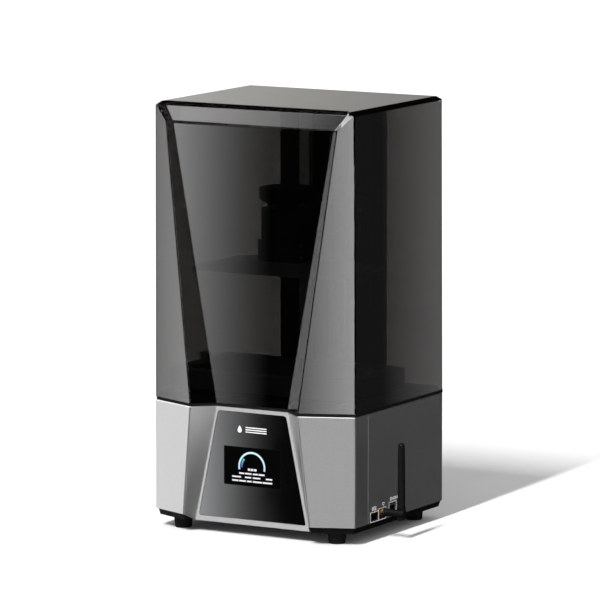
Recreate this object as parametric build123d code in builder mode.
from build123d import *
from math import hypot
import os

# Desktop resin 3-D printer: a faceted base with a smoked cover standing on it, a Z column with a
# cantilevered build platform, and a resin vat over a masking screen.
# Millimetres. Origin on the floor at the middle of the body's footprint, -Y front, +Z up. Heights in
# this file count from a datum FOOT_DROP above the floor, and keep() raises each piece by that much.

os.makedirs("parts", exist_ok=True)

# ---------------------------------------------------------------- driving dimensions
# Outline shared by base and cover
HALF_W = 153.0
BACK_Y = 136.5
SIDE_FRONT_Y = -107.1  # where a side face ends and the raked outer front face begins
RAKE = 0.4125  # forward reach of the outer front faces per mm towards the middle
BACK_CORNER_R = 6.0
CORNER_R = 2.5
RIDGE_R = 2.5
RIM_CHAMFER = 0.8

# Base
BASE_Z = 19.0
CHIN_Z = 9.7
SEAM_Z = 166.0
BASE_WALL = 2.5
RIDGE_X_BOTTOM, RIDGE_X_SEAM = 95.6, 81.7
INNER_X_BOTTOM, INNER_X_SEAM = 85.5, 54.3
PANEL_Y = -113.5  # face of the recessed front panel
PANEL_SEAT_Y = -110.5  # wall that the front panel lies on
SPLIT_Y = -73.5  # front shell to side panel joint
REAR_SPLIT_Y = 130.0
JOINT_GAP = 0.3

# Cover
GASKET_TOP_Z = 170.5
BREAK_Z = 541.0  # where the front face breaks into the top bevel
SIDE_TOP_Z = 561.8
TOP_Z = 567.3
COVER_WALL = 3.0
COVER_DRAFT = 1.5
# ridge X, inner edge X and middle Y of the cover's front, where it breaks and at its shoulder
BREAK_RIDGE_X, BREAK_INNER_X, BREAK_MIDDLE_Y = 129.0, 121.5, -110.8
SHOULDER_RIDGE_X, SHOULDER_INNER_X, SHOULDER_MIDDLE_Y = 149.4, 137.0, -102.9
TOP_HALF_W, TOP_BACK_Y, TOP_FRONT_Y = 143.6, 128.7, -99.4

# Front panel
GLASS_TOP_Z, GLASS_BOTTOM_Z = 161.0, 17.0
GLASS_HALF_TOP, GLASS_HALF_BOTTOM = 52.2, 82.2
SCREEN_W, SCREEN_H, SCREEN_Z = 86.4, 51.8, 88.3

# Bottom and feet
FLOOR_Z, FLOOR_T = 10.5, 2.0
FOOT_DROP = 5.4
FEET = [(-118.0, -94.0), (118.0, -94.0), (-123.0, 108.0), (123.0, 108.0)]
FOOT_R_TOP, FOOT_R_BOTTOM = 13.0, 11.0

# Build area, all centred on this Y
AREA_Y = -20.0
DECK_Z = 176.0
DECK_T = 3.0
LCD_W, LCD_D, LCD_T = 232.0, 138.0, 3.5

# Vat
VAT_W, VAT_D = 276.0, 160.0
VAT_TOP_Z, VAT_SOLE_Z, FRAME_SOLE_Z = 210.0, 184.3, 180.0
LIP_W, LIP_D = 226.0, 132.0  # clear opening at the film
FILM_T = 0.3
THUMB_X = 126.0

# Z axis
COLUMN_HALF_W, COLUMN_FRONT_Y, COLUMN_BACK_Y, COLUMN_TOP_Z = 70.0, 82.0, 126.0, 545.0
CHANNEL_HALF_W, CHANNEL_BACK_Y = 17.0, 118.0
RAIL_X, RAIL_W, RAIL_T = 26.0, 15.0, 10.0
SCREW_Y, SCREW_R = 100.6, 5.0
CARRIAGE_Z0, CARRIAGE_Z1 = 374.0, 434.0
CARRIAGE_FRONT_Y, CARRIAGE_BACK_Y = 54.0, 66.0
CARRIAGE_HALF_W = 74.0

# Build platform at its stored height
PLATE_Z = 341.0
PLATE_W, PLATE_D = 222.0, 128.0
PLATE_EDGE_T, PAD_Z = 5.0, 354.0
BRACKET_HALF_W, BRACKET_D, ARM_Z0, ARM_Z1 = 31.0, 50.0, 383.0, 424.0
ARM_HALF_W, ARM_FRONT_Y = 29.0, -40.0
KNOB_R, KNOB_Z0, KNOB_Z1, NECK_R = 37.0, 433.6, 452.0, 15.0
STUD_R = 4.95

# Ports on the right side
BOARD_Z = 22.5
USB_Y, NET_Y = -55.5, -6.0
JACK_Y, JACK_Z, JACK_R = -34.2, 29.8, 3.17
WHIP_X, WHIP_TOP_Z, WHIP_FOOT, WHIP_TIP_R = 181.6, 124.6, 8.8, 4.6

# Rear panel
INLET_X, SWITCH_X, MAINS_Z = -105.0, -72.0, 46.0
EXHAUST_X, EXHAUST_Z = 78.0, 100.0

RUN = 0.05  # radial clearance of a running fit
CLEAR = 0.2  # gap between separate fixed pieces


# ---------------------------------------------------------------- helpers
def keep(piece, name):
    """Raises a finished piece to its height above the floor, labels it and writes its STEP file."""
    piece.part = piece.part.moved(Location((0, 0, FOOT_DROP)))
    piece.part.label = name
    export_step(piece.part, f"parts/{name}.step")


def block(x, y, z, mode=Mode.ADD):
    """A box given by its low and high edges along each axis."""
    with Locations(((x[0] + x[1]) / 2, (y[0] + y[1]) / 2, (z[0] + z[1]) / 2)):
        Box(x[1] - x[0], y[1] - y[0], z[1] - z[0], mode=mode)


def post(x, y, z, radius, mode=Mode.ADD):
    """An upright cylinder between two heights."""
    with Locations((x, y, (z[0] + z[1]) / 2)):
        Cylinder(radius, z[1] - z[0], mode=mode)


def rod_x(x, y, z, radius, mode=Mode.ADD):
    """A cylinder along X between two positions."""
    with Locations(Location(((x[0] + x[1]) / 2, y, z), (0, 90, 0))):
        Cylinder(radius, x[1] - x[0], mode=mode)


def rod_y(x, y, z, radius, mode=Mode.ADD):
    """A cylinder along Y between two positions."""
    with Locations(Location((x, (y[0] + y[1]) / 2, z), (90, 0, 0))):
        Cylinder(radius, y[1] - y[0], mode=mode)


def meet(p, d, q, e):
    """Where the plan line through p along d crosses the one through q along e."""
    cross = d[0] * e[1] - d[1] * e[0]
    s = ((q[0] - p[0]) * e[1] - (q[1] - p[1]) * e[0]) / cross
    return p[0] + s * d[0], p[1] + s * d[1]


def front_y(x):
    """Y of the raked outer front face at x."""
    return SIDE_FRONT_Y - (HALF_W - x) * RAKE


def outline(ridge_x, inner_x, centre_y, inset, seat_y=None, draft=0.0):
    """Right half of a level section, back to front: back corner, side corner, ridge and inner edge,
    all moved inset into the body. seat_y steps the middle back behind the inner edge."""
    side_x = HALF_W - draft - inset
    face = (HALF_W, SIDE_FRONT_Y + inset * hypot(1, RAKE))
    ridge = (ridge_x, front_y(ridge_x))
    strip = (inner_x - ridge_x, centre_y - ridge[1])
    length = hypot(*strip)
    strip_face = (ridge[0] + inset * strip[1] / length, ridge[1] - inset * strip[0] / length)
    middle_y = centre_y if seat_y is None else seat_y
    points = [
        (side_x, BACK_Y - draft - inset),
        meet(face, (1, RAKE), (side_x, 0), (0, 1)),
        meet(face, (1, RAKE), strip_face, strip),
    ]
    if inset == 0 and seat_y is not None:
        points.append((inner_x, centre_y))
        points.append((inner_x, seat_y))
    else:
        points.append(meet(strip_face, strip, (0, middle_y + inset), (1, 0)))
    return points


def both_sides(points):
    """Closes a right-half outline with its mirror image."""
    return points + [(-x, y) for x, y in reversed(points)]


def near_z(edge, z):
    """Whether an edge lies level at height z."""
    ends = (edge.position_at(0).Z, edge.position_at(1).Z)
    return all(abs(end - z) < 1 for end in ends)


def along(z, z0, z1, a, b):
    """The value at z on the straight line from a at z0 to b at z1."""
    return a + (b - a) * (z - z0) / (z1 - z0)


def base_outline(z, inset, stepped=True):
    """Section of the base at height z."""
    ridge_x = along(z, BASE_Z, SEAM_Z, RIDGE_X_BOTTOM, RIDGE_X_SEAM)
    inner_x = along(z, BASE_Z, SEAM_Z, INNER_X_BOTTOM, INNER_X_SEAM)
    return both_sides(outline(ridge_x, inner_x, PANEL_Y, inset, PANEL_SEAT_Y if stepped else None))


def loft_between(sections, mode=Mode.ADD):
    """Ruled loft through (height, points) sections, inside the current part."""
    levels = []
    for z, points in sections:
        with BuildSketch(Plane.XY.offset(z)) as level:
            with BuildLine():
                Polyline(*points, close=True)
            make_face()
        levels.append(level.sketch.face())
    loft(levels, ruled=True, mode=mode)


def back_corners():
    """The upright edges at the two back corners of the part being built."""
    return edges().filter_by(lambda e: e.center().Y > BACK_Y - 2 and abs(e.tangent_at(0.5).Z) > 0.99)


def base_ring():
    """The whole wall of the base, before it is split into shells."""
    loft_between([(z, base_outline(z, 0)) for z in (CHIN_Z, SEAM_Z)])
    fillet(back_corners(), BACK_CORNER_R)
    upright = edges().filter_by(lambda e: e.center().Y < -100 and e.length > 150)
    fillet(upright.filter_by(lambda e: abs(e.center().X) > HALF_W - 5), CORNER_R)
    fillet(upright.filter_by(lambda e: abs(e.center().X) < HALF_W - 5 and e.center().Y < -118), RIDGE_R)
    rim = edges().filter_by(lambda e: near_z(e, SEAM_Z) and not PANEL_Y - 1 < e.center().Y < PANEL_SEAT_Y + 1)
    chamfer(rim, RIM_CHAMFER)
    loft_between([(z, base_outline(z, BASE_WALL)) for z in (CHIN_Z - 1, SEAM_Z + 1)], Mode.SUBTRACT)
    # the bottom edge is level except for the chin in the middle, which hangs lower
    chin_x = along(CHIN_Z, BASE_Z, SEAM_Z, INNER_X_BOTTOM, INNER_X_SEAM)
    for side in (-1, 1):
        with BuildSketch(Plane.XZ.offset(-BACK_Y - 1)) as under:
            with BuildLine():
                Polyline(
                    (side * chin_x, CHIN_Z),
                    (side * RIDGE_X_BOTTOM, BASE_Z),
                    (side * (HALF_W + 1), BASE_Z),
                    (side * (HALF_W + 1), CHIN_Z - 1),
                    (side * chin_x, CHIN_Z - 1),
                    close=True,
                )
            make_face()
        extrude(under.sketch, amount=300, mode=Mode.SUBTRACT)
    block((-HALF_W, HALF_W), (PANEL_SEAT_Y + BASE_WALL + 1, BACK_Y), (0, BASE_Z), Mode.SUBTRACT)


# ---------------------------------------------------------------- cover and its gasket
def cover_sections(inset):
    """Sections of the cover at the seam, the front break, the side edge and the top."""
    lower = outline(RIDGE_X_SEAM, INNER_X_SEAM, PANEL_Y, inset)
    broken = outline(BREAK_RIDGE_X, BREAK_INNER_X, BREAK_MIDDLE_Y, inset, draft=COVER_DRAFT)
    shoulder = outline(
        SHOULDER_RIDGE_X - 1.6 * inset, SHOULDER_INNER_X - inset, SHOULDER_MIDDLE_Y, inset, draft=COVER_DRAFT
    )
    side_x = TOP_HALF_W - inset
    front = TOP_FRONT_Y + inset
    top = [
        (side_x, TOP_BACK_Y - inset),
        (side_x, front - 5.4),
        (side_x - 1.2, front - 5.9),
        (side_x - 5.4, front),
    ]
    heights = (GASKET_TOP_Z, BREAK_Z, SIDE_TOP_Z, TOP_Z)
    sections = list(zip(heights, [both_sides(p) for p in (lower, broken, shoulder, top)]))
    if inset:
        sections[0] = (GASKET_TOP_Z - 1, sections[0][1])
        sections[2] = (SIDE_TOP_Z - 1, sections[2][1])
        sections[3] = (TOP_Z - inset, sections[3][1])
    return sections


def soften_cover():
    """Rounds the outside edges of the cover, one family at a time."""
    side_corners = edges().filter_by(lambda e: e.center().Y < -90 and abs(e.center().X) > 146)
    fillet(side_corners.filter_by(lambda e: abs(e.position_at(0).Z - e.position_at(1).Z) > 5), CORNER_R)
    for z, radius in ((TOP_Z, 2.0), (SIDE_TOP_Z, 6.0), (BREAK_Z, 12.0)):
        across = edges().filter_by(lambda e: near_z(e, z) and abs(e.center().X) < 60)
        fillet(across if z == TOP_Z else across.filter_by(lambda e: e.center().Y < 0), radius)
    fillet(edges().filter_by(lambda e: e.center().Y < -118 and e.length > 300), RIDGE_R)


with BuildPart() as cover_shell:
    loft_between(cover_sections(0))
    fillet(back_corners(), BACK_CORNER_R)
    soften_cover()
    loft_between(cover_sections(COVER_WALL), Mode.SUBTRACT)
keep(cover_shell, "cover_shell")

with BuildPart() as cover_gasket:
    seam = [(z, base_outline(SEAM_Z, 1.2, False)) for z in (SEAM_Z, GASKET_TOP_Z)]
    loft_between(seam)
    loft_between([(z, base_outline(SEAM_Z, 6.4, False)) for z in (SEAM_Z, GASKET_TOP_Z)], Mode.SUBTRACT)
keep(cover_gasket, "cover_gasket")

# ---------------------------------------------------------------- base shells
with BuildPart() as front_shell:
    base_ring()
    block((-200, 200), (SPLIT_Y, 200), (0, 200), Mode.SUBTRACT)
    # window for the display
    block(
        (-SCREEN_W / 2 - 1, SCREEN_W / 2 + 1),
        (PANEL_SEAT_Y - 1, PANEL_SEAT_Y + BASE_WALL + 1),
        (SCREEN_Z - SCREEN_H / 2 - 1, SCREEN_Z + SCREEN_H / 2 + 1),
        Mode.SUBTRACT,
    )
keep(front_shell, "front_shell")

for side, name in ((-1, "side_panel_left"), (1, "side_panel_right")):
    with BuildPart() as side_panel:
        base_ring()
        block((-200, 200), (-200, SPLIT_Y + JOINT_GAP), (0, 200), Mode.SUBTRACT)
        block((-200, 200), (REAR_SPLIT_Y - JOINT_GAP, 200), (0, 200), Mode.SUBTRACT)
        block(sorted((-side * 200, 0)), (-200, 200), (0, 200), Mode.SUBTRACT)
        if side > 0:
            wall = (HALF_W - BASE_WALL - 1, HALF_W + 1)
            block(wall, (USB_Y - 7.5, USB_Y + 7.5), (BOARD_Z, BOARD_Z + 7.6), Mode.SUBTRACT)
            block(wall, (NET_Y - 8.2, NET_Y + 8.2), (BOARD_Z, BOARD_Z + 14.2), Mode.SUBTRACT)
            rod_x(wall, JACK_Y, JACK_Z, JACK_R + CLEAR, Mode.SUBTRACT)
    keep(side_panel, name)

with BuildPart() as rear_panel:
    base_ring()
    block((-200, 200), (-200, REAR_SPLIT_Y), (0, 200), Mode.SUBTRACT)
    back_wall = (BACK_Y - BASE_WALL - 1, BACK_Y + 1)
    rod_y(EXHAUST_X, back_wall, EXHAUST_Z, 29.0, Mode.SUBTRACT)
    block((INLET_X - 15.5, INLET_X + 15.5), back_wall, (MAINS_Z - 12.5, MAINS_Z + 12.5), Mode.SUBTRACT)
    block((SWITCH_X - 8.0, SWITCH_X + 8.0), back_wall, (MAINS_Z - 11.0, MAINS_Z + 11.0), Mode.SUBTRACT)
    # slots that let the electronics breathe
    with BuildSketch(Plane.XZ.offset(-BACK_Y - 1)):
        with Locations((-70, 115)):
            with GridLocations(8, 0, 12, 1):
                SlotOverall(34, 3.2, rotation=90)
    extrude(amount=BASE_WALL + 2, mode=Mode.SUBTRACT)
    SCREW_SPOTS = [(x, z) for x in (-142, 0, 142) for z in (32, 152)]
    for x, z in SCREW_SPOTS:
        rod_y(x, back_wall, z, 3.1, Mode.SUBTRACT)
keep(rear_panel, "rear_panel")

with BuildPart() as panel_screws:
    for x, z in SCREW_SPOTS:
        rod_y(x, (BACK_Y - 9, BACK_Y - 1.8), z, 1.5)
        rod_y(x, (BACK_Y - 1.8, BACK_Y - 0.1), z, 3.0)
        with Locations(Location((x, BACK_Y - 0.6, z), (90, 0, 0))):
            Box(3.6, 0.7, 1.2, mode=Mode.SUBTRACT)
            Box(0.7, 3.6, 1.2, mode=Mode.SUBTRACT)
keep(panel_screws, "panel_screws")

with BuildPart() as bottom_tray:
    rim = base_outline(BASE_Z, BASE_WALL + CLEAR)
    sole = base_outline(BASE_Z, 5.0)
    loft_between([(FLOOR_Z, sole), (BASE_Z, rim), (BASE_Z + 3, rim)])
    inner_rim = base_outline(BASE_Z, BASE_WALL + CLEAR + FLOOR_T)
    inner_sole = base_outline(BASE_Z, 5.0 + FLOOR_T)
    hollow = [(FLOOR_Z + FLOOR_T, inner_sole), (BASE_Z, inner_rim), (BASE_Z + 4, inner_rim)]
    loft_between(hollow, Mode.SUBTRACT)
    # air intake under the light-source fan
    with BuildSketch(Plane.XY.offset(FLOOR_Z - 1)):
        with Locations((0, AREA_Y)):
            with GridLocations(9, 0, 8, 1):
                SlotOverall(60, 4, rotation=90)
    extrude(amount=4, mode=Mode.SUBTRACT)
keep(bottom_tray, "bottom_tray")

with BuildPart() as feet:
    for x, y in FEET:
        with BuildSketch(Plane.XY.offset(-FOOT_DROP)):
            with Locations((x, y)):
                Circle(FOOT_R_BOTTOM)
        with BuildSketch(Plane.XY.offset(FLOOR_Z)):
            with Locations((x, y)):
                Circle(FOOT_R_TOP)
        loft()
    fillet(feet.edges().group_by(Axis.Z)[0], 1.2)
keep(feet, "feet")

# ---------------------------------------------------------------- front panel
def panel_prism(half_top, half_bottom, z_top, z_bottom, y0, y1, corner_r, mode=Mode.ADD):
    """A trapezoid plate standing in the front recess, with rounded top corners."""
    with BuildSketch(Plane.XZ.offset(-y1)) as shape:
        with BuildLine():
            Polyline(
                (-half_bottom, z_bottom), (half_bottom, z_bottom), (half_top, z_top), (-half_top, z_top),
                close=True,
            )
        make_face()
        if corner_r:
            fillet(shape.vertices().group_by(Axis.Y)[-1], corner_r)
            fillet(shape.vertices().group_by(Axis.Y)[0], corner_r / 2)
    extrude(shape.sketch, amount=y1 - y0, mode=mode)


with BuildPart() as front_trim_frame:
    top_z = SEAM_Z - CLEAR
    half_top = along(top_z, BASE_Z, SEAM_Z, INNER_X_BOTTOM, INNER_X_SEAM) - CLEAR
    half_bottom = along(CHIN_Z, BASE_Z, SEAM_Z, INNER_X_BOTTOM, INNER_X_SEAM) - CLEAR
    panel_prism(half_top, half_bottom, top_z, CHIN_Z, PANEL_Y - 0.6, PANEL_SEAT_Y, 0)
    chamfer(front_trim_frame.faces().sort_by(Axis.Y)[0].edges(), 0.5)
    panel_prism(
        GLASS_HALF_TOP, GLASS_HALF_BOTTOM, GLASS_TOP_Z, GLASS_BOTTOM_Z,
        PANEL_Y - 2, PANEL_SEAT_Y + 1, 5.5, Mode.SUBTRACT,
    )
keep(front_trim_frame, "front_trim_frame")

with BuildPart() as front_glass:
    gap = 0.15
    panel_prism(
        GLASS_HALF_TOP - gap, GLASS_HALF_BOTTOM - gap, GLASS_TOP_Z - gap, GLASS_BOTTOM_Z + gap,
        PANEL_Y, PANEL_SEAT_Y, 5.4,
    )
    fillet(front_glass.faces().sort_by(Axis.Y)[0].edges(), 0.5)
keep(front_glass, "front_glass")

with BuildPart() as display_module:
    y_back = PANEL_SEAT_Y + BASE_WALL
    half_w, half_h = SCREEN_W / 2, SCREEN_H / 2
    block((-half_w, half_w), (PANEL_SEAT_Y + 0.1, y_back), (SCREEN_Z - half_h, SCREEN_Z + half_h))
    block((-half_w - 7, half_w + 7), (y_back, y_back + 5), (SCREEN_Z - half_h - 7, SCREEN_Z + half_h + 7))
    block((-20, 20), (y_back + 5, y_back + 9), (SCREEN_Z - 15, SCREEN_Z + 10))
keep(display_module, "display_module")

# ---------------------------------------------------------------- deck, masking screen, light source
with BuildPart() as deck_plate:
    flange = [(z, base_outline(z, BASE_WALL + CLEAR)) for z in (SEAM_Z - DECK_T, SEAM_Z)]
    raised = base_outline(SEAM_Z, 7.0)
    hollow = base_outline(SEAM_Z, 7.0 + DECK_T)
    loft_between(flange)
    loft_between([(SEAM_Z, raised), (DECK_Z, raised)])
    loft_between([(SEAM_Z - DECK_T - 1, hollow), (DECK_Z - DECK_T, hollow)], Mode.SUBTRACT)
    fillet(deck_plate.faces().sort_by(Axis.Z)[-1].edges(), 1.0)
    block((-110, 110), (AREA_Y - 63, AREA_Y + 63), (DECK_Z - 5, DECK_Z + 1), Mode.SUBTRACT)
    post(0, SCREW_Y, (DECK_Z - 5, DECK_Z + 1), 12.0, Mode.SUBTRACT)
    for side in (-1, 1):
        post(side * THUMB_X, AREA_Y, (DECK_Z - 5, DECK_Z + 1), 3.3, Mode.SUBTRACT)
keep(deck_plate, "deck_plate")

with BuildPart() as mask_lcd_panel:
    block((-LCD_W / 2, LCD_W / 2), (AREA_Y - LCD_D / 2, AREA_Y + LCD_D / 2), (DECK_Z, DECK_Z + LCD_T))
keep(mask_lcd_panel, "mask_lcd_panel")

HOUSING_Z0, HOUSING_Z1 = 88.0, DECK_Z - DECK_T
with BuildPart() as light_source_housing:
    block((-117, 117), (AREA_Y - 70, AREA_Y + 70), (HOUSING_Z0, HOUSING_Z1))
    block((-115, 115), (AREA_Y - 68, AREA_Y + 68), (HOUSING_Z0 + 2, HOUSING_Z1 + 1), Mode.SUBTRACT)
    block((-55, 55), (AREA_Y - 35, AREA_Y + 35), (HOUSING_Z0 - 1, HOUSING_Z0 + 3), Mode.SUBTRACT)
    for x in (-113, 113):
        block((x - 2, x + 2), (AREA_Y - 68, AREA_Y + 68), (156, 158))
keep(light_source_housing, "light_source_housing")

with BuildPart() as fresnel_lens:
    block((-114.7, 114.7), (AREA_Y - 67.7, AREA_Y + 67.7), (158, 161))
keep(fresnel_lens, "fresnel_lens")

with BuildPart() as led_array_board:
    block((-60, 60), (AREA_Y - 40, AREA_Y + 40), (HOUSING_Z0 - 2, HOUSING_Z0))
    with Locations((0, AREA_Y, HOUSING_Z0 + 1)):
        with GridLocations(13, 12, 8, 5):
            Cylinder(3.0, 2.0)
keep(led_array_board, "led_array_board")

SINK_Z0, SINK_Z1 = 44.0, HOUSING_Z0 - 2
with BuildPart() as heat_sink:
    block((-60, 60), (AREA_Y - 40, AREA_Y + 40), (SINK_Z1 - 6, SINK_Z1))
    with Locations((0, AREA_Y, (SINK_Z0 + SINK_Z1 - 6) / 2)):
        with GridLocations(7.8, 1, 16, 1):
            Box(1.8, 80, SINK_Z1 - 6 - SINK_Z0)
keep(heat_sink, "heat_sink")


def fan_frame(plane, size, depth, bore_r, hub_r):
    """A square fan frame with four struts and a hub cup, its depth along the plane's normal."""
    with BuildSketch(plane) as rim:
        RectangleRounded(size, size, 4)
        Circle(bore_r, mode=Mode.SUBTRACT)
    extrude(rim.sketch, amount=depth)
    with BuildSketch(plane) as struts:
        Circle(hub_r)
        for angle in (45, 135):
            Rectangle(2 * bore_r + 1, 3, rotation=angle)
    extrude(struts.sketch, amount=2)
    with BuildSketch(plane) as bore:
        Circle(1.5 + RUN)
    extrude(bore.sketch, amount=2, mode=Mode.SUBTRACT)


def fan_rotor(plane, depth, blade_r, hub_r, blades=7):
    """A hub with pitched blades and an axle stub running in the frame's hub."""
    with BuildSketch(plane.offset(3)) as hub:
        Circle(hub_r)
    extrude(hub.sketch, amount=depth - 4)
    with BuildSketch(plane.offset(0.3)) as axle:
        Circle(1.5)
    extrude(axle.sketch, amount=3)
    reach = blade_r - hub_r + 2
    for n in range(blades):
        turn = 360 / blades * n
        middle = Location((0, 0, depth / 2 + 0.8), (0, 0, turn)) * Location((0, 0, 0), (38, 0, 0))
        with BuildSketch(Plane(plane.location * middle).offset(-0.8)) as blade:
            with Locations((hub_r - 2 + reach / 2, 0)):
                Rectangle(reach, depth * 0.55)
        extrude(blade.sketch, amount=1.6)


LIGHT_FAN = Plane(origin=(0, AREA_Y, SINK_Z0 - 25), x_dir=(1, 0, 0), z_dir=(0, 0, 1))
FAN_BACK_Y = BACK_Y - BASE_WALL - 20.2
EXHAUST_FAN = Plane(origin=(EXHAUST_X, FAN_BACK_Y, EXHAUST_Z), x_dir=(1, 0, 0), z_dir=(0, 1, 0))

with BuildPart() as light_fan_frame:
    fan_frame(LIGHT_FAN, 80, 25, 38, 16)
keep(light_fan_frame, "light_fan_frame")

with BuildPart() as light_fan_rotor:
    fan_rotor(LIGHT_FAN, 24, 36.5, 15)
keep(light_fan_rotor, "light_fan_rotor")

with BuildPart() as exhaust_fan_frame:
    fan_frame(EXHAUST_FAN, 60, 20, 28.5, 13)
keep(exhaust_fan_frame, "exhaust_fan_frame")

with BuildPart() as exhaust_fan_rotor:
    fan_rotor(EXHAUST_FAN, 19, 27, 12)
keep(exhaust_fan_rotor, "exhaust_fan_rotor")

with BuildPart() as exhaust_fan_guard:
    with BuildSketch(EXHAUST_FAN.offset(20.4)):
        for radius in (28.0, 20.0, 14.0, 8.0):
            Circle(radius + 0.8)
            Circle(radius - 0.8, mode=Mode.SUBTRACT)
        Circle(3)
        for angle in (0, 45, 90, 135):
            Rectangle(55, 1.6, rotation=angle)
    extrude(amount=1.6)
keep(exhaust_fan_guard, "exhaust_fan_guard")

# ---------------------------------------------------------------- vat
with BuildPart() as vat_body:
    half_w, half_d = VAT_W / 2, VAT_D / 2
    block((-half_w, half_w), (AREA_Y - half_d, AREA_Y + half_d), (VAT_SOLE_Z, VAT_TOP_Z))
    fillet(vat_body.edges().filter_by(Axis.Z), 12)
    chamfer(vat_body.faces().sort_by(Axis.Z)[-1].edges(), 1.5)
    # lip that stretches the film over the screen
    block(
        (-LIP_W / 2 - 3, LIP_W / 2 + 3),
        (AREA_Y - LIP_D / 2 - 3, AREA_Y + LIP_D / 2 + 3),
        (FRAME_SOLE_Z + FILM_T, VAT_SOLE_Z),
    )
    # basin, wider at the top
    for z, grow in ((FRAME_SOLE_Z, 0), (VAT_TOP_Z + 0.01, 5)):
        with BuildSketch(Plane.XY.offset(z)):
            with Locations((0, AREA_Y)):
                RectangleRounded(LIP_W + grow, LIP_D + grow, 6 + grow)
    loft(mode=Mode.SUBTRACT)
    for side in (-1, 1):
        post(side * THUMB_X, AREA_Y, (VAT_SOLE_Z - 1, VAT_TOP_Z + 1), 3.0, Mode.SUBTRACT)
    FILM_SCREWS = [(x, AREA_Y + s * 73.2) for x in (-96, -58, -19, 19, 58, 96) for s in (-1, 1)]
    for x, y in FILM_SCREWS:
        post(x, y, (VAT_SOLE_Z - 1, VAT_SOLE_Z + 6), 1.3, Mode.SUBTRACT)
keep(vat_body, "vat_body")

with BuildPart() as release_film:
    lip_x, lip_y = LIP_W / 2 + 3, LIP_D / 2 + 3
    block(
        (-lip_x - FILM_T, lip_x + FILM_T),
        (AREA_Y - lip_y - FILM_T, AREA_Y + lip_y + FILM_T),
        (FRAME_SOLE_Z, VAT_SOLE_Z),
    )
    block((-120.5, 120.5), (AREA_Y - 76, AREA_Y + 76), (VAT_SOLE_Z - FILM_T, VAT_SOLE_Z))
    block(
        (-lip_x, lip_x), (AREA_Y - lip_y, AREA_Y + lip_y), (FRAME_SOLE_Z + FILM_T, VAT_SOLE_Z + 1),
        Mode.SUBTRACT,
    )
    for x, y in FILM_SCREWS:
        post(x, y, (VAT_SOLE_Z - 1, VAT_SOLE_Z + 1), 1.3, Mode.SUBTRACT)
keep(release_film, "release_film")

with BuildPart() as film_clamp_frame:
    block((-121, 121), (AREA_Y - 77, AREA_Y + 77), (FRAME_SOLE_Z, VAT_SOLE_Z - FILM_T))
    block(
        (-lip_x - 0.4, lip_x + 0.4),
        (AREA_Y - lip_y - 0.4, AREA_Y + lip_y + 0.4),
        (FRAME_SOLE_Z - 1, VAT_SOLE_Z),
        Mode.SUBTRACT,
    )
    for x, y in FILM_SCREWS:
        post(x, y, (FRAME_SOLE_Z - 1, VAT_SOLE_Z), 1.3, Mode.SUBTRACT)
        post(x, y, (FRAME_SOLE_Z - 1, FRAME_SOLE_Z + 1.8), 2.6, Mode.SUBTRACT)
keep(film_clamp_frame, "film_clamp_frame")

with BuildPart() as film_screws:
    for x, y in FILM_SCREWS:
        post(x, y, (FRAME_SOLE_Z + 0.2, FRAME_SOLE_Z + 1.8), 2.4)
        post(x, y, (FRAME_SOLE_Z + 1.8, VAT_SOLE_Z + 5), 1.2)
keep(film_screws, "film_screws")

with BuildPart() as vat_rest_rails:
    for side in (-1, 1):
        low, high = sorted((side * 117.2, side * 136.0))
        block((low, high), (AREA_Y - 74, AREA_Y + 74), (DECK_Z, FRAME_SOLE_Z))
        post(side * THUMB_X, AREA_Y, (DECK_Z - 1, FRAME_SOLE_Z + 1), 3.0, Mode.SUBTRACT)
keep(vat_rest_rails, "vat_rest_rails")

HEAD_R, HEAD_H = 8.7, 11.2
for side, name in ((-1, "vat_thumbscrew_left"), (1, "vat_thumbscrew_right")):
    with BuildPart() as thumbscrew:
        x = side * THUMB_X
        post(x, AREA_Y, (VAT_TOP_Z + 0.1, VAT_TOP_Z + 0.1 + HEAD_H), HEAD_R)
        chamfer(thumbscrew.edges().filter_by(GeomType.CIRCLE), 1.0)
        with Locations((x, AREA_Y, VAT_TOP_Z + HEAD_H / 2)):
            with PolarLocations(HEAD_R + 0.5, 18):
                Cylinder(0.9, HEAD_H * 2, mode=Mode.SUBTRACT)
        post(x, AREA_Y, (DECK_Z - 4, VAT_TOP_Z + 0.1), 3.0 - RUN)
    keep(thumbscrew, name)

# ---------------------------------------------------------------- Z axis
with BuildPart() as column:
    block((-COLUMN_HALF_W, COLUMN_HALF_W), (COLUMN_FRONT_Y, COLUMN_BACK_Y), (DECK_Z, COLUMN_TOP_Z))
    fillet(column.edges().filter_by(Axis.Z), 3)
    channel_z = (DECK_Z - 1, COLUMN_TOP_Z + 1)
    block((-CHANNEL_HALF_W, CHANNEL_HALF_W), (COLUMN_FRONT_Y - 1, CHANNEL_BACK_Y), channel_z, Mode.SUBTRACT)
    # the two towers are hollow, closed at the top
    for side in (-1, 1):
        low, high = sorted((side * (CHANNEL_HALF_W + 4), side * (COLUMN_HALF_W - 4)))
        tower_z = (DECK_Z - 1, COLUMN_TOP_Z - 4)
        block((low, high), (COLUMN_FRONT_Y + 5, COLUMN_BACK_Y - 4), tower_z, Mode.SUBTRACT)
keep(column, "column")

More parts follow.
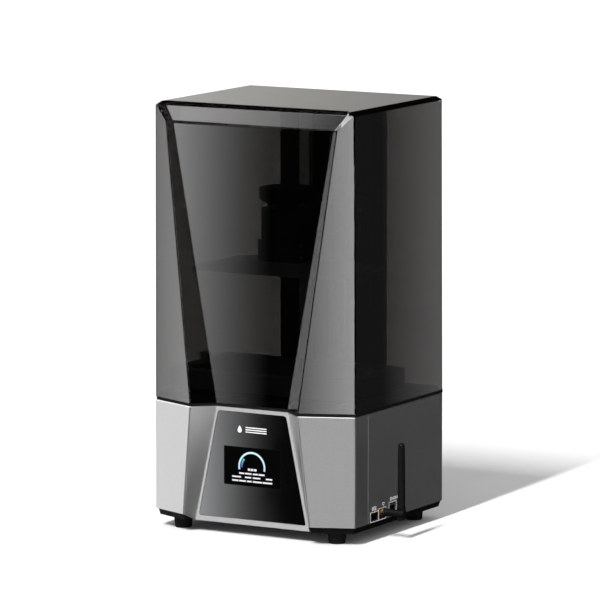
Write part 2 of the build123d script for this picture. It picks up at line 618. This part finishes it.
RAIL_Z0, RAIL_Z1 = 182.0, 540.0
with BuildPart() as linear_rails:
    for side in (-1, 1):
        x0, x1 = side * RAIL_X - RAIL_W / 2, side * RAIL_X + RAIL_W / 2
        block((x0, x1), (COLUMN_FRONT_Y - RAIL_T, COLUMN_FRONT_Y), (RAIL_Z0, RAIL_Z1))
        # running grooves down both flanks
        for x in (x0, x1):
            block((x - 1.2, x + 1.2), (COLUMN_FRONT_Y - 6.5, COLUMN_FRONT_Y - 3.0), (0, 600), Mode.SUBTRACT)
        rail_face_y = COLUMN_FRONT_Y - RAIL_T
        hole_count = 6
        for n in range(hole_count):
            z = along(n, 0, hole_count - 1, RAIL_Z0 + 20, RAIL_Z1 - 20)
            rod_y(side * RAIL_X, (rail_face_y - 1, rail_face_y + 4.5), z, 3.2, Mode.SUBTRACT)
keep(linear_rails, "linear_rails")

with BuildPart() as rail_blocks:
    for side in (-1, 1):
        x0, x1 = side * RAIL_X - 16, side * RAIL_X + 16
        block((x0, x1), (CARRIAGE_BACK_Y, COLUMN_FRONT_Y - 2), (CARRIAGE_Z0 + 1, CARRIAGE_Z1 - 1))
        rail_half = RAIL_W / 2 + 0.3
        block(
            (side * RAIL_X - rail_half, side * RAIL_X + rail_half),
            (COLUMN_FRONT_Y - RAIL_T - 0.3, COLUMN_FRONT_Y + 1),
            (CARRIAGE_Z0, CARRIAGE_Z1),
            Mode.SUBTRACT,
        )
keep(rail_blocks, "rail_blocks")

CARRIAGE_SCREWS = [
    (side * x, z) for side in (-1, 1) for x in (40.0, 67.0) for z in (391.7, 417.3)
]
with BuildPart() as carriage_plate:
    block(
        (-CARRIAGE_HALF_W, CARRIAGE_HALF_W), (CARRIAGE_FRONT_Y, CARRIAGE_BACK_Y), (CARRIAGE_Z0, CARRIAGE_Z1)
    )
    fillet(carriage_plate.edges().filter_by(Axis.Y), 6)
    chamfer(carriage_plate.faces().sort_by(Axis.Y)[0].edges(), 1)
    for x, z in CARRIAGE_SCREWS:
        rod_y(x, (CARRIAGE_FRONT_Y - 1, CARRIAGE_FRONT_Y + 4), z, 3.5, Mode.SUBTRACT)
        rod_y(x, (CARRIAGE_FRONT_Y, CARRIAGE_BACK_Y + 1), z, 2.1, Mode.SUBTRACT)
    for z in (398, 412):
        for x in (-8, 8):
            rod_y(x, (CARRIAGE_FRONT_Y - 1, CARRIAGE_BACK_Y + 1), z, 2.1, Mode.SUBTRACT)
keep(carriage_plate, "carriage_plate")

with BuildPart() as carriage_screws:
    for x, z in CARRIAGE_SCREWS:
        rod_y(x, (CARRIAGE_FRONT_Y + 0.3, CARRIAGE_FRONT_Y + 4), z, 3.2)
        rod_y(x, (CARRIAGE_FRONT_Y + 4, CARRIAGE_BACK_Y - 0.1), z, 2.0)
        with BuildSketch(Plane.XZ.offset(-CARRIAGE_FRONT_Y - 2.3)):
            with Locations((x, z)):
                RegularPolygon(1.7, 6)
        extrude(amount=3, mode=Mode.SUBTRACT)
keep(carriage_screws, "carriage_screws")

with BuildPart() as ball_nut:
    post(0, SCREW_Y, (385, 425), 13.0)
    block((-9.5, 9.5), (CARRIAGE_BACK_Y, SCREW_Y), (392, 418))
    post(0, SCREW_Y, (384, 426), SCREW_R + 0.08, Mode.SUBTRACT)
keep(ball_nut, "ball_nut")

with BuildPart() as ball_screw:
    post(0, SCREW_Y, (195, 525), SCREW_R)
    post(0, SCREW_Y, (158, 540), 4.0)
keep(ball_screw, "ball_screw")

for name, z0, z1 in (("lower_bearing_block", DECK_Z, 192.0), ("upper_bearing_block", 528.0, 543.0)):
    with BuildPart() as bearing_block:
        block((-CHANNEL_HALF_W + 0.1, CHANNEL_HALF_W - 0.1), (COLUMN_FRONT_Y + 2, CHANNEL_BACK_Y), (z0, z1))
        post(0, SCREW_Y, (z0 - 1, z1 + 1), 4.0 + RUN, Mode.SUBTRACT)
    keep(bearing_block, name)

# the motor's own shaft is pressed into the coupling and turns with it
with BuildPart() as shaft_coupling:
    post(0, SCREW_Y, (149.5, 171.5), 10.0)
    post(0, SCREW_Y, (158, 172), 4.0 + 0.01, Mode.SUBTRACT)
    post(0, SCREW_Y, (112, 152), 2.5)
    # spiral slits of the flexible middle, as thin level cuts
    for z, turn in ((157, 0), (160.5, 120), (164, 240)):
        with Locations(Location((0, SCREW_Y, z), (0, 0, turn))):
            with Locations((6, 0, 0)):
                Box(12, 24, 0.8, mode=Mode.SUBTRACT)
keep(shaft_coupling, "shaft_coupling")

MOTOR_TOP_Z = 143.0
with BuildPart() as z_motor:
    with BuildSketch(Plane.XY.offset(MOTOR_TOP_Z - 44)):
        with Locations((0, SCREW_Y)):
            RectangleRounded(42.3, 42.3, 5)
    extrude(amount=44)
    post(0, SCREW_Y, (MOTOR_TOP_Z, MOTOR_TOP_Z + 2), 11.0)
    post(0, SCREW_Y, (111, MOTOR_TOP_Z + 3), 2.5 + RUN, Mode.SUBTRACT)
keep(z_motor, "z_motor")

with BuildPart() as motor_bracket:
    block((-23, 23), (SCREW_Y - 23, SCREW_Y + 23), (MOTOR_TOP_Z, MOTOR_TOP_Z + 3))
    for dx in (-18, 18):
        for dy in (-18, 18):
            post(dx, SCREW_Y + dy, (MOTOR_TOP_Z + 3, DECK_Z - DECK_T), 4.0)
    post(0, SCREW_Y, (MOTOR_TOP_Z - 1, MOTOR_TOP_Z + 4), 11.0 + CLEAR, Mode.SUBTRACT)
keep(motor_bracket, "motor_bracket")

# the optical home sensor on the column, and the flag on the carriage that passes through it
SENSOR_X, SENSOR_Z = 56.0, 205.0
with BuildPart() as home_sensor:
    block((SENSOR_X - 6, SENSOR_X + 6), (COLUMN_FRONT_Y - 12, COLUMN_FRONT_Y), (SENSOR_Z, SENSOR_Z + 10))
    slot_y = (COLUMN_FRONT_Y - 13, COLUMN_FRONT_Y - 4)
    block((SENSOR_X - 1.6, SENSOR_X + 1.6), slot_y, (SENSOR_Z - 1, SENSOR_Z + 11), Mode.SUBTRACT)
keep(home_sensor, "home_sensor")

with BuildPart() as sensor_flag:
    blade_y = (CARRIAGE_BACK_Y, COLUMN_FRONT_Y - 6)
    block((SENSOR_X - 0.6, SENSOR_X + 0.6), blade_y, (CARRIAGE_Z0 - 6, CARRIAGE_Z0 + 6))
    tab_y = (CARRIAGE_BACK_Y, CARRIAGE_BACK_Y + 1.2)
    block((SENSOR_X - 5, SENSOR_X + 5), tab_y, (CARRIAGE_Z0 + 3, CARRIAGE_Z0 + 14))
keep(sensor_flag, "sensor_flag")

# ---------------------------------------------------------------- build platform
with BuildPart() as arm_block:
    block((-ARM_HALF_W, ARM_HALF_W), (ARM_FRONT_Y, CARRIAGE_FRONT_Y), (ARM_Z0, ARM_Z1))
    chamfer(arm_block.edges().filter_by(Axis.Z).group_by(Axis.Y)[0], 2)
    post(0, AREA_Y, (ARM_Z0 - 1, ARM_Z1 + 1), STUD_R + RUN, Mode.SUBTRACT)
keep(arm_block, "arm_block")

LEVEL_SCREWS = [(side, AREA_Y + dy, z) for side in (-1, 1) for dy in (-18, 18) for z in (360.5, 376.5)]
with BuildPart() as platform_bracket:
    half_d = BRACKET_D / 2
    block((-BRACKET_HALF_W, BRACKET_HALF_W), (AREA_Y - half_d, AREA_Y + half_d), (PAD_Z, ARM_Z0))
    chamfer(platform_bracket.edges().filter_by(Axis.Z), 2)
    post(0, AREA_Y, (370, ARM_Z0 + 1), STUD_R + 0.3, Mode.SUBTRACT)
    for side, y, z in LEVEL_SCREWS:
        rod_x(sorted((side * (BRACKET_HALF_W - 8), side * (BRACKET_HALF_W + 1))), y, z, 1.6, Mode.SUBTRACT)
keep(platform_bracket, "platform_bracket")

with BuildPart() as levelling_screws:
    for side, y, z in LEVEL_SCREWS:
        rod_x(sorted((side * (BRACKET_HALF_W - 7), side * BRACKET_HALF_W)), y, z, 1.5)
        rod_x(sorted((side * BRACKET_HALF_W, side * (BRACKET_HALF_W + 3))), y, z, 2.8)
keep(levelling_screws, "levelling_screws")

with BuildPart() as build_plate:
    half_w, half_d = PLATE_W / 2, PLATE_D / 2
    block((-half_w, half_w), (AREA_Y - half_d, AREA_Y + half_d), (PLATE_Z, PLATE_Z + PLATE_EDGE_T))
    fillet(build_plate.edges().filter_by(Axis.Z), 3)
    # the top falls away on all sides so that resin runs off
    for z, w, d in ((PLATE_Z + PLATE_EDGE_T, PLATE_W - 4, PLATE_D - 4), (PAD_Z, 90, 70)):
        with BuildSketch(Plane.XY.offset(z)):
            with Locations((0, AREA_Y)):
                RectangleRounded(w, d, 4)
    loft(ruled=True)
keep(build_plate, "build_plate")

with BuildPart() as clamp_knob:
    post(0, AREA_Y, (KNOB_Z0, KNOB_Z1), KNOB_R)
    chamfer(clamp_knob.edges().group_by(Axis.Z)[0], 3.5)
    fillet(clamp_knob.edges().group_by(Axis.Z)[-1], 1.2)
    with Locations((0, AREA_Y, KNOB_Z1)):
        with PolarLocations(KNOB_R + 2.6, 24):
            Cylinder(3.4, 60, mode=Mode.SUBTRACT)
    post(0, AREA_Y, (ARM_Z1 + 0.2, KNOB_Z0), NECK_R)
    post(0, AREA_Y, (372, ARM_Z1 + 1), STUD_R)
keep(clamp_knob, "clamp_knob")

# ---------------------------------------------------------------- electronics and ports
with BuildPart() as main_board:
    block((62, 148), (-72, 45), (BOARD_Z - 1.6, BOARD_Z))
    block((80, 104), (-30, -6), (BOARD_Z, BOARD_Z + 3))
    block((70, 90), (10, 36), (BOARD_Z, BOARD_Z + 12))
    block((118, 134), (20, 36), (BOARD_Z, BOARD_Z + 2.5))
    for x, y in ((66, -68), (132, -68), (66, 41), (132, 41)):
        post(x, y, (FLOOR_Z + FLOOR_T, BOARD_Z - 1.6), 3)
keep(main_board, "main_board")

SUPPLY_TOP_Z = 56.0
with BuildPart() as power_supply:
    block((-134, -60), (6, 104), (FLOOR_Z + FLOOR_T, SUPPLY_TOP_Z))
    fillet(power_supply.edges().filter_by(Axis.Z), 2)
    with BuildSketch(Plane.XY.offset(SUPPLY_TOP_Z)):
        with Locations((-97, 55)):
            with GridLocations(9, 9, 6, 9):
                Circle(2.5)
    extrude(amount=-5, mode=Mode.SUBTRACT)
keep(power_supply, "power_supply")

with BuildPart() as usb_socket:
    z0, z1 = BOARD_Z, BOARD_Z + 7.0
    block((136, HALF_W - 0.5), (USB_Y - 7.2, USB_Y + 7.2), (z0, z1))
    block((140, HALF_W), (USB_Y - 6.6, USB_Y + 6.6), (z0 + 0.6, z1 - 0.6), Mode.SUBTRACT)
keep(usb_socket, "usb_socket")

with BuildPart() as network_socket:
    z0, z1 = BOARD_Z, BOARD_Z + 13.8
    block((131, HALF_W - 0.5), (NET_Y - 8.0, NET_Y + 8.0), (z0, z1))
    block((137, HALF_W), (NET_Y - 6.2, NET_Y + 6.2), (z0 + 3.0, z1 - 1.6), Mode.SUBTRACT)
    block((137, HALF_W), (NET_Y - 3.2, NET_Y + 3.2), (z0 + 1.2, z0 + 4.0), Mode.SUBTRACT)
keep(network_socket, "network_socket")

with BuildPart() as antenna_jack:
    rod_x((138, 164), JACK_Y, JACK_Z, JACK_R)
    with BuildSketch(Plane.YZ.offset(HALF_W)):
        with Locations((JACK_Y, JACK_Z)):
            RegularPolygon(4.6, 6)
    extrude(amount=2.2)
    rod_x((146, HALF_W - BASE_WALL - 0.1), JACK_Y, JACK_Z, 4.4)
    rod_x((130, 165), JACK_Y, JACK_Z, 0.65, Mode.SUBTRACT)
keep(antenna_jack, "antenna_jack")

HUB_R, FORK_GAP = 5.2, 6.0
with BuildPart() as antenna_hub:
    rod_x((156.5, WHIP_X + 5.2), JACK_Y, JACK_Z, HUB_R)
    rod_x((156, 164.5), JACK_Y, JACK_Z, JACK_R + RUN, Mode.SUBTRACT)
    block((WHIP_X - 10.6, WHIP_X + 6), (JACK_Y - FORK_GAP / 2, JACK_Y + FORK_GAP / 2), (0, 60), Mode.SUBTRACT)
    rod_y(WHIP_X, (JACK_Y - 9, JACK_Y + 9), JACK_Z, 1.25, Mode.SUBTRACT)
    rod_y(WHIP_X, (JACK_Y - 4.9, JACK_Y + 4.9), JACK_Z, 1.25)
keep(antenna_hub, "antenna_hub")

with BuildPart() as antenna_whip:
    tongue = FORK_GAP / 2 - 0.15
    block((WHIP_X - 5, WHIP_X + 5), (JACK_Y - tongue, JACK_Y + tongue), (JACK_Z - WHIP_FOOT, JACK_Z + 10))
    fillet(antenna_whip.edges().filter_by(Axis.Y).group_by(Axis.Z)[0], 3.5)
    for z, radius in ((JACK_Z + 7.5, 5.2), (WHIP_TOP_Z - WHIP_TIP_R + 0.1, WHIP_TIP_R)):
        with BuildSketch(Plane.XY.offset(z)):
            with Locations((WHIP_X, JACK_Y)):
                Circle(radius)
    loft()
    with Locations((WHIP_X, JACK_Y, WHIP_TOP_Z - WHIP_TIP_R)):
        Sphere(WHIP_TIP_R)
    rod_y(WHIP_X, (JACK_Y - 9, JACK_Y + 9), JACK_Z, 1.25 + RUN, Mode.SUBTRACT)
keep(antenna_whip, "antenna_whip")

with BuildPart() as mains_inlet:
    inlet_y = (BACK_Y - 26, BACK_Y)
    block((INLET_X - 13.5, INLET_X + 13.5), inlet_y, (MAINS_Z - 10, MAINS_Z + 10))
    block((INLET_X - 15.3, INLET_X + 15.3), (BACK_Y - 2.4, BACK_Y), (MAINS_Z - 12.3, MAINS_Z + 12.3))
    block((INLET_X - 12, INLET_X + 12), (BACK_Y - 18, BACK_Y + 1), (MAINS_Z - 8, MAINS_Z + 8), Mode.SUBTRACT)
    for dx, dz in ((-7, 0), (0, 4), (7, 0)):
        x, z = INLET_X + dx, MAINS_Z + dz
        block((x - 1, x + 1), (BACK_Y - 19, BACK_Y - 6), (z - 2, z + 2))
keep(mains_inlet, "mains_inlet")

PIVOT_Y = BACK_Y - 6.0
with BuildPart() as switch_body:
    for half_w, half_h, depth, mode in (
        (7.8, 10.8, (BACK_Y - 2.4, BACK_Y + 0.6), Mode.ADD),
        (6.8, 9.8, (BACK_Y - 20, BACK_Y - 2), Mode.ADD),
        (5.4, 8.8, (BACK_Y - 16, BACK_Y + 1), Mode.SUBTRACT),
    ):
        block((SWITCH_X - half_w, SWITCH_X + half_w), depth, (MAINS_Z - half_h, MAINS_Z + half_h), mode)
    rod_x((SWITCH_X - 6.2, SWITCH_X + 6.2), PIVOT_Y, MAINS_Z, 1.5 + RUN, Mode.SUBTRACT)
keep(switch_body, "switch_body")

with BuildPart() as switch_rocker:
    ROCK = 8.0  # degrees from level to either end
    with BuildSketch(Plane.YZ.offset(SWITCH_X - 5.2)):
        with BuildLine():
            Polyline(
                (PIVOT_Y - 4, MAINS_Z - 5),
                (PIVOT_Y + 6.4, MAINS_Z - 7.9),
                (PIVOT_Y + 5.0, MAINS_Z),
                (PIVOT_Y + 6.4, MAINS_Z + 7.9),
                (PIVOT_Y - 4, MAINS_Z + 5),
                close=True,
            )
        make_face()
    extrude(amount=10.4)
    rod_x((SWITCH_X - 6.0, SWITCH_X + 6.0), PIVOT_Y, MAINS_Z, 1.5)
switch_rocker.part = switch_rocker.part.rotate(Axis((SWITCH_X, PIVOT_Y, MAINS_Z), (1, 0, 0)), -ROCK)
keep(switch_rocker, "switch_rocker")

CABLE_R, CABLE_BEND_R = 1.8, 6.0
RUN_Z, PLUG_Z = 32.0, BOARD_Z + 0.1
DISPLAY_CABLE = [
    (10, -98.9, 80),
    (10, -84, 80),
    (10, -84, RUN_Z),
    (90, -84, RUN_Z),
    (90, -60, RUN_Z),
    (90, -60, PLUG_Z),
]
MOTOR_CABLE = [
    (21.3, SCREW_Y, 105),
    (45, SCREW_Y, 105),
    (45, SCREW_Y, RUN_Z),
    (100, SCREW_Y, RUN_Z),
    (100, 40, RUN_Z),
    (100, 40, PLUG_Z),
]
SUPPLY_CABLE = [(-59.9, 60, 29), (76, 60, 29), (76, 36.1, 29)]
with BuildPart() as internal_cables:
    for route in (DISPLAY_CABLE, MOTOR_CABLE, SUPPLY_CABLE):
        with BuildLine() as path:
            FilletPolyline(*route, radius=CABLE_BEND_R)
        with BuildSketch(Plane(origin=path.line @ 0, z_dir=path.line % 0)) as section:
            Circle(CABLE_R)
        sweep(section.sketch, path=path.line)
keep(internal_cables, "internal_cables")
